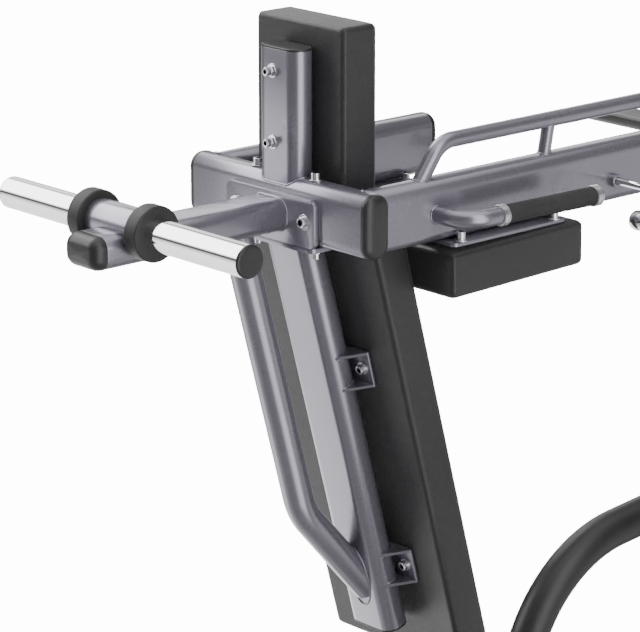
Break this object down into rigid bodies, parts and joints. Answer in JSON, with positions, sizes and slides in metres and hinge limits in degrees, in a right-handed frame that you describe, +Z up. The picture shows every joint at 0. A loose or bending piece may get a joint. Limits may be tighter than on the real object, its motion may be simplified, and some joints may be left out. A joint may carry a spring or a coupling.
{
  "type": "pendulum squat machine",
  "caption": "Free-standing pendulum squat machine with a single-beam swinging carriage, back and shoulder pads, weight bar and sloping foot platform.",
  "frame": {"origin": "middle of the machine's box on the floor, under the middle of its length and width", "axes": "+Z up, +Y from the weight bar towards the tower and counterweight, +X towards the side of the long beam and the hoop"},
  "size_m": [0.79, 2.154, 1.8055],
  "materials": {
    "silver_powder_coat": "semi-gloss metallic powder coat",
    "black_powder_coat": "satin powder coat",
    "chrome": "polished",
    "zinc_steel": "bright zinc plate",
    "black_vinyl": "grained upholstery vinyl",
    "black_rubber": "matt",
    "black_plastic": "moulded satin",
    "black_iron": "black enamel"
  },
  "bodies": {
    "fixed_frame": {"floor_rail_near": "black_powder_coat", "floor_rail_far": "black_powder_coat", "stand_cross_member": "black_powder_coat", "tower_cross_member": "black_powder_coat", "front_cross_member": "black_powder_coat", "rubber_foot_near_rear": "black_rubber", "rubber_foot_near_front": "black_rubber", "rubber_foot_far_rear": "black_rubber", "rubber_foot_far_front": "black_rubber", "side_hoop": "black_powder_coat", "tower_upright_near": "black_powder_coat", "tower_upright_far": "black_powder_coat", "tower_head_bar": "black_powder_coat", "bearing_block_near": "black_powder_coat", "bearing_block_far": "black_powder_coat", "tower_brace": "black_powder_coat", "stop_shelf": "black_powder_coat", "rest_bumper": "black_rubber", "travel_bumper": "black_rubber", "foot_platform": "black_powder_coat", "platform_mat": "black_rubber"},
    "pendulum_carriage": {"main_beam": "silver_powder_coat", "stub_arm": "silver_powder_coat", "cross_tube": "silver_powder_coat", "horn_arm": "silver_powder_coat", "head_post": "silver_powder_coat", "back_spine": "silver_powder_coat", "bow_tube": "silver_powder_coat", "shoulder_plate_near": "silver_powder_coat", "shoulder_plate_far": "silver_powder_coat", "handle_near": "silver_powder_coat", "handle_far": "silver_powder_coat", "hand_rail": "silver_powder_coat", "counterweight_arm": "silver_powder_coat", "cross_cap_near": "black_plastic", "cross_cap_far": "black_plastic", "stub_arm_cap": "black_plastic", "main_beam_cap": "black_plastic", "horn_arm_cap": "black_plastic", "weight_bar_cap_near": "black_plastic", "weight_bar_cap_far": "black_plastic", "head_post_cap": "black_plastic", "back_spine_cap": "black_plastic", "rubber_ring_near": "black_rubber", "rubber_ring_far": "black_rubber", "grip_near": "black_rubber", "grip_far": "black_rubber", "head_pad": "black_vinyl", "back_pad": "black_vinyl", "shoulder_pad_near": "black_vinyl", "shoulder_pad_far": "black_vinyl", "weight_bar": "chrome", "pivot_shaft": "zinc_steel", "clamp_bolt_near": "zinc_steel", "clamp_bolt_far": "zinc_steel", "counterweight_disc_near": "black_iron", "counterweight_disc_far": "black_iron"},
    "release_lever": {"release_lever": "chrome", "release_grip": "chrome"}
  },
  "joints": [
    {"name": "pendulum_swing", "type": "hinge", "parent": "fixed_frame", "child": "pendulum_carriage", "pos_m": [0, 0.352, 1.52], "axis": [1, 0, 0], "range_deg": [0, 36]},
    {"name": "release_lever_turn", "type": "hinge", "parent": "pendulum_carriage", "child": "release_lever", "pos_m": [0, -0.156, 1.508], "axis": [-1, 0, 0], "range_deg": [0, 35], "stiffness_Nm_per_rad": 2}
  ]
}
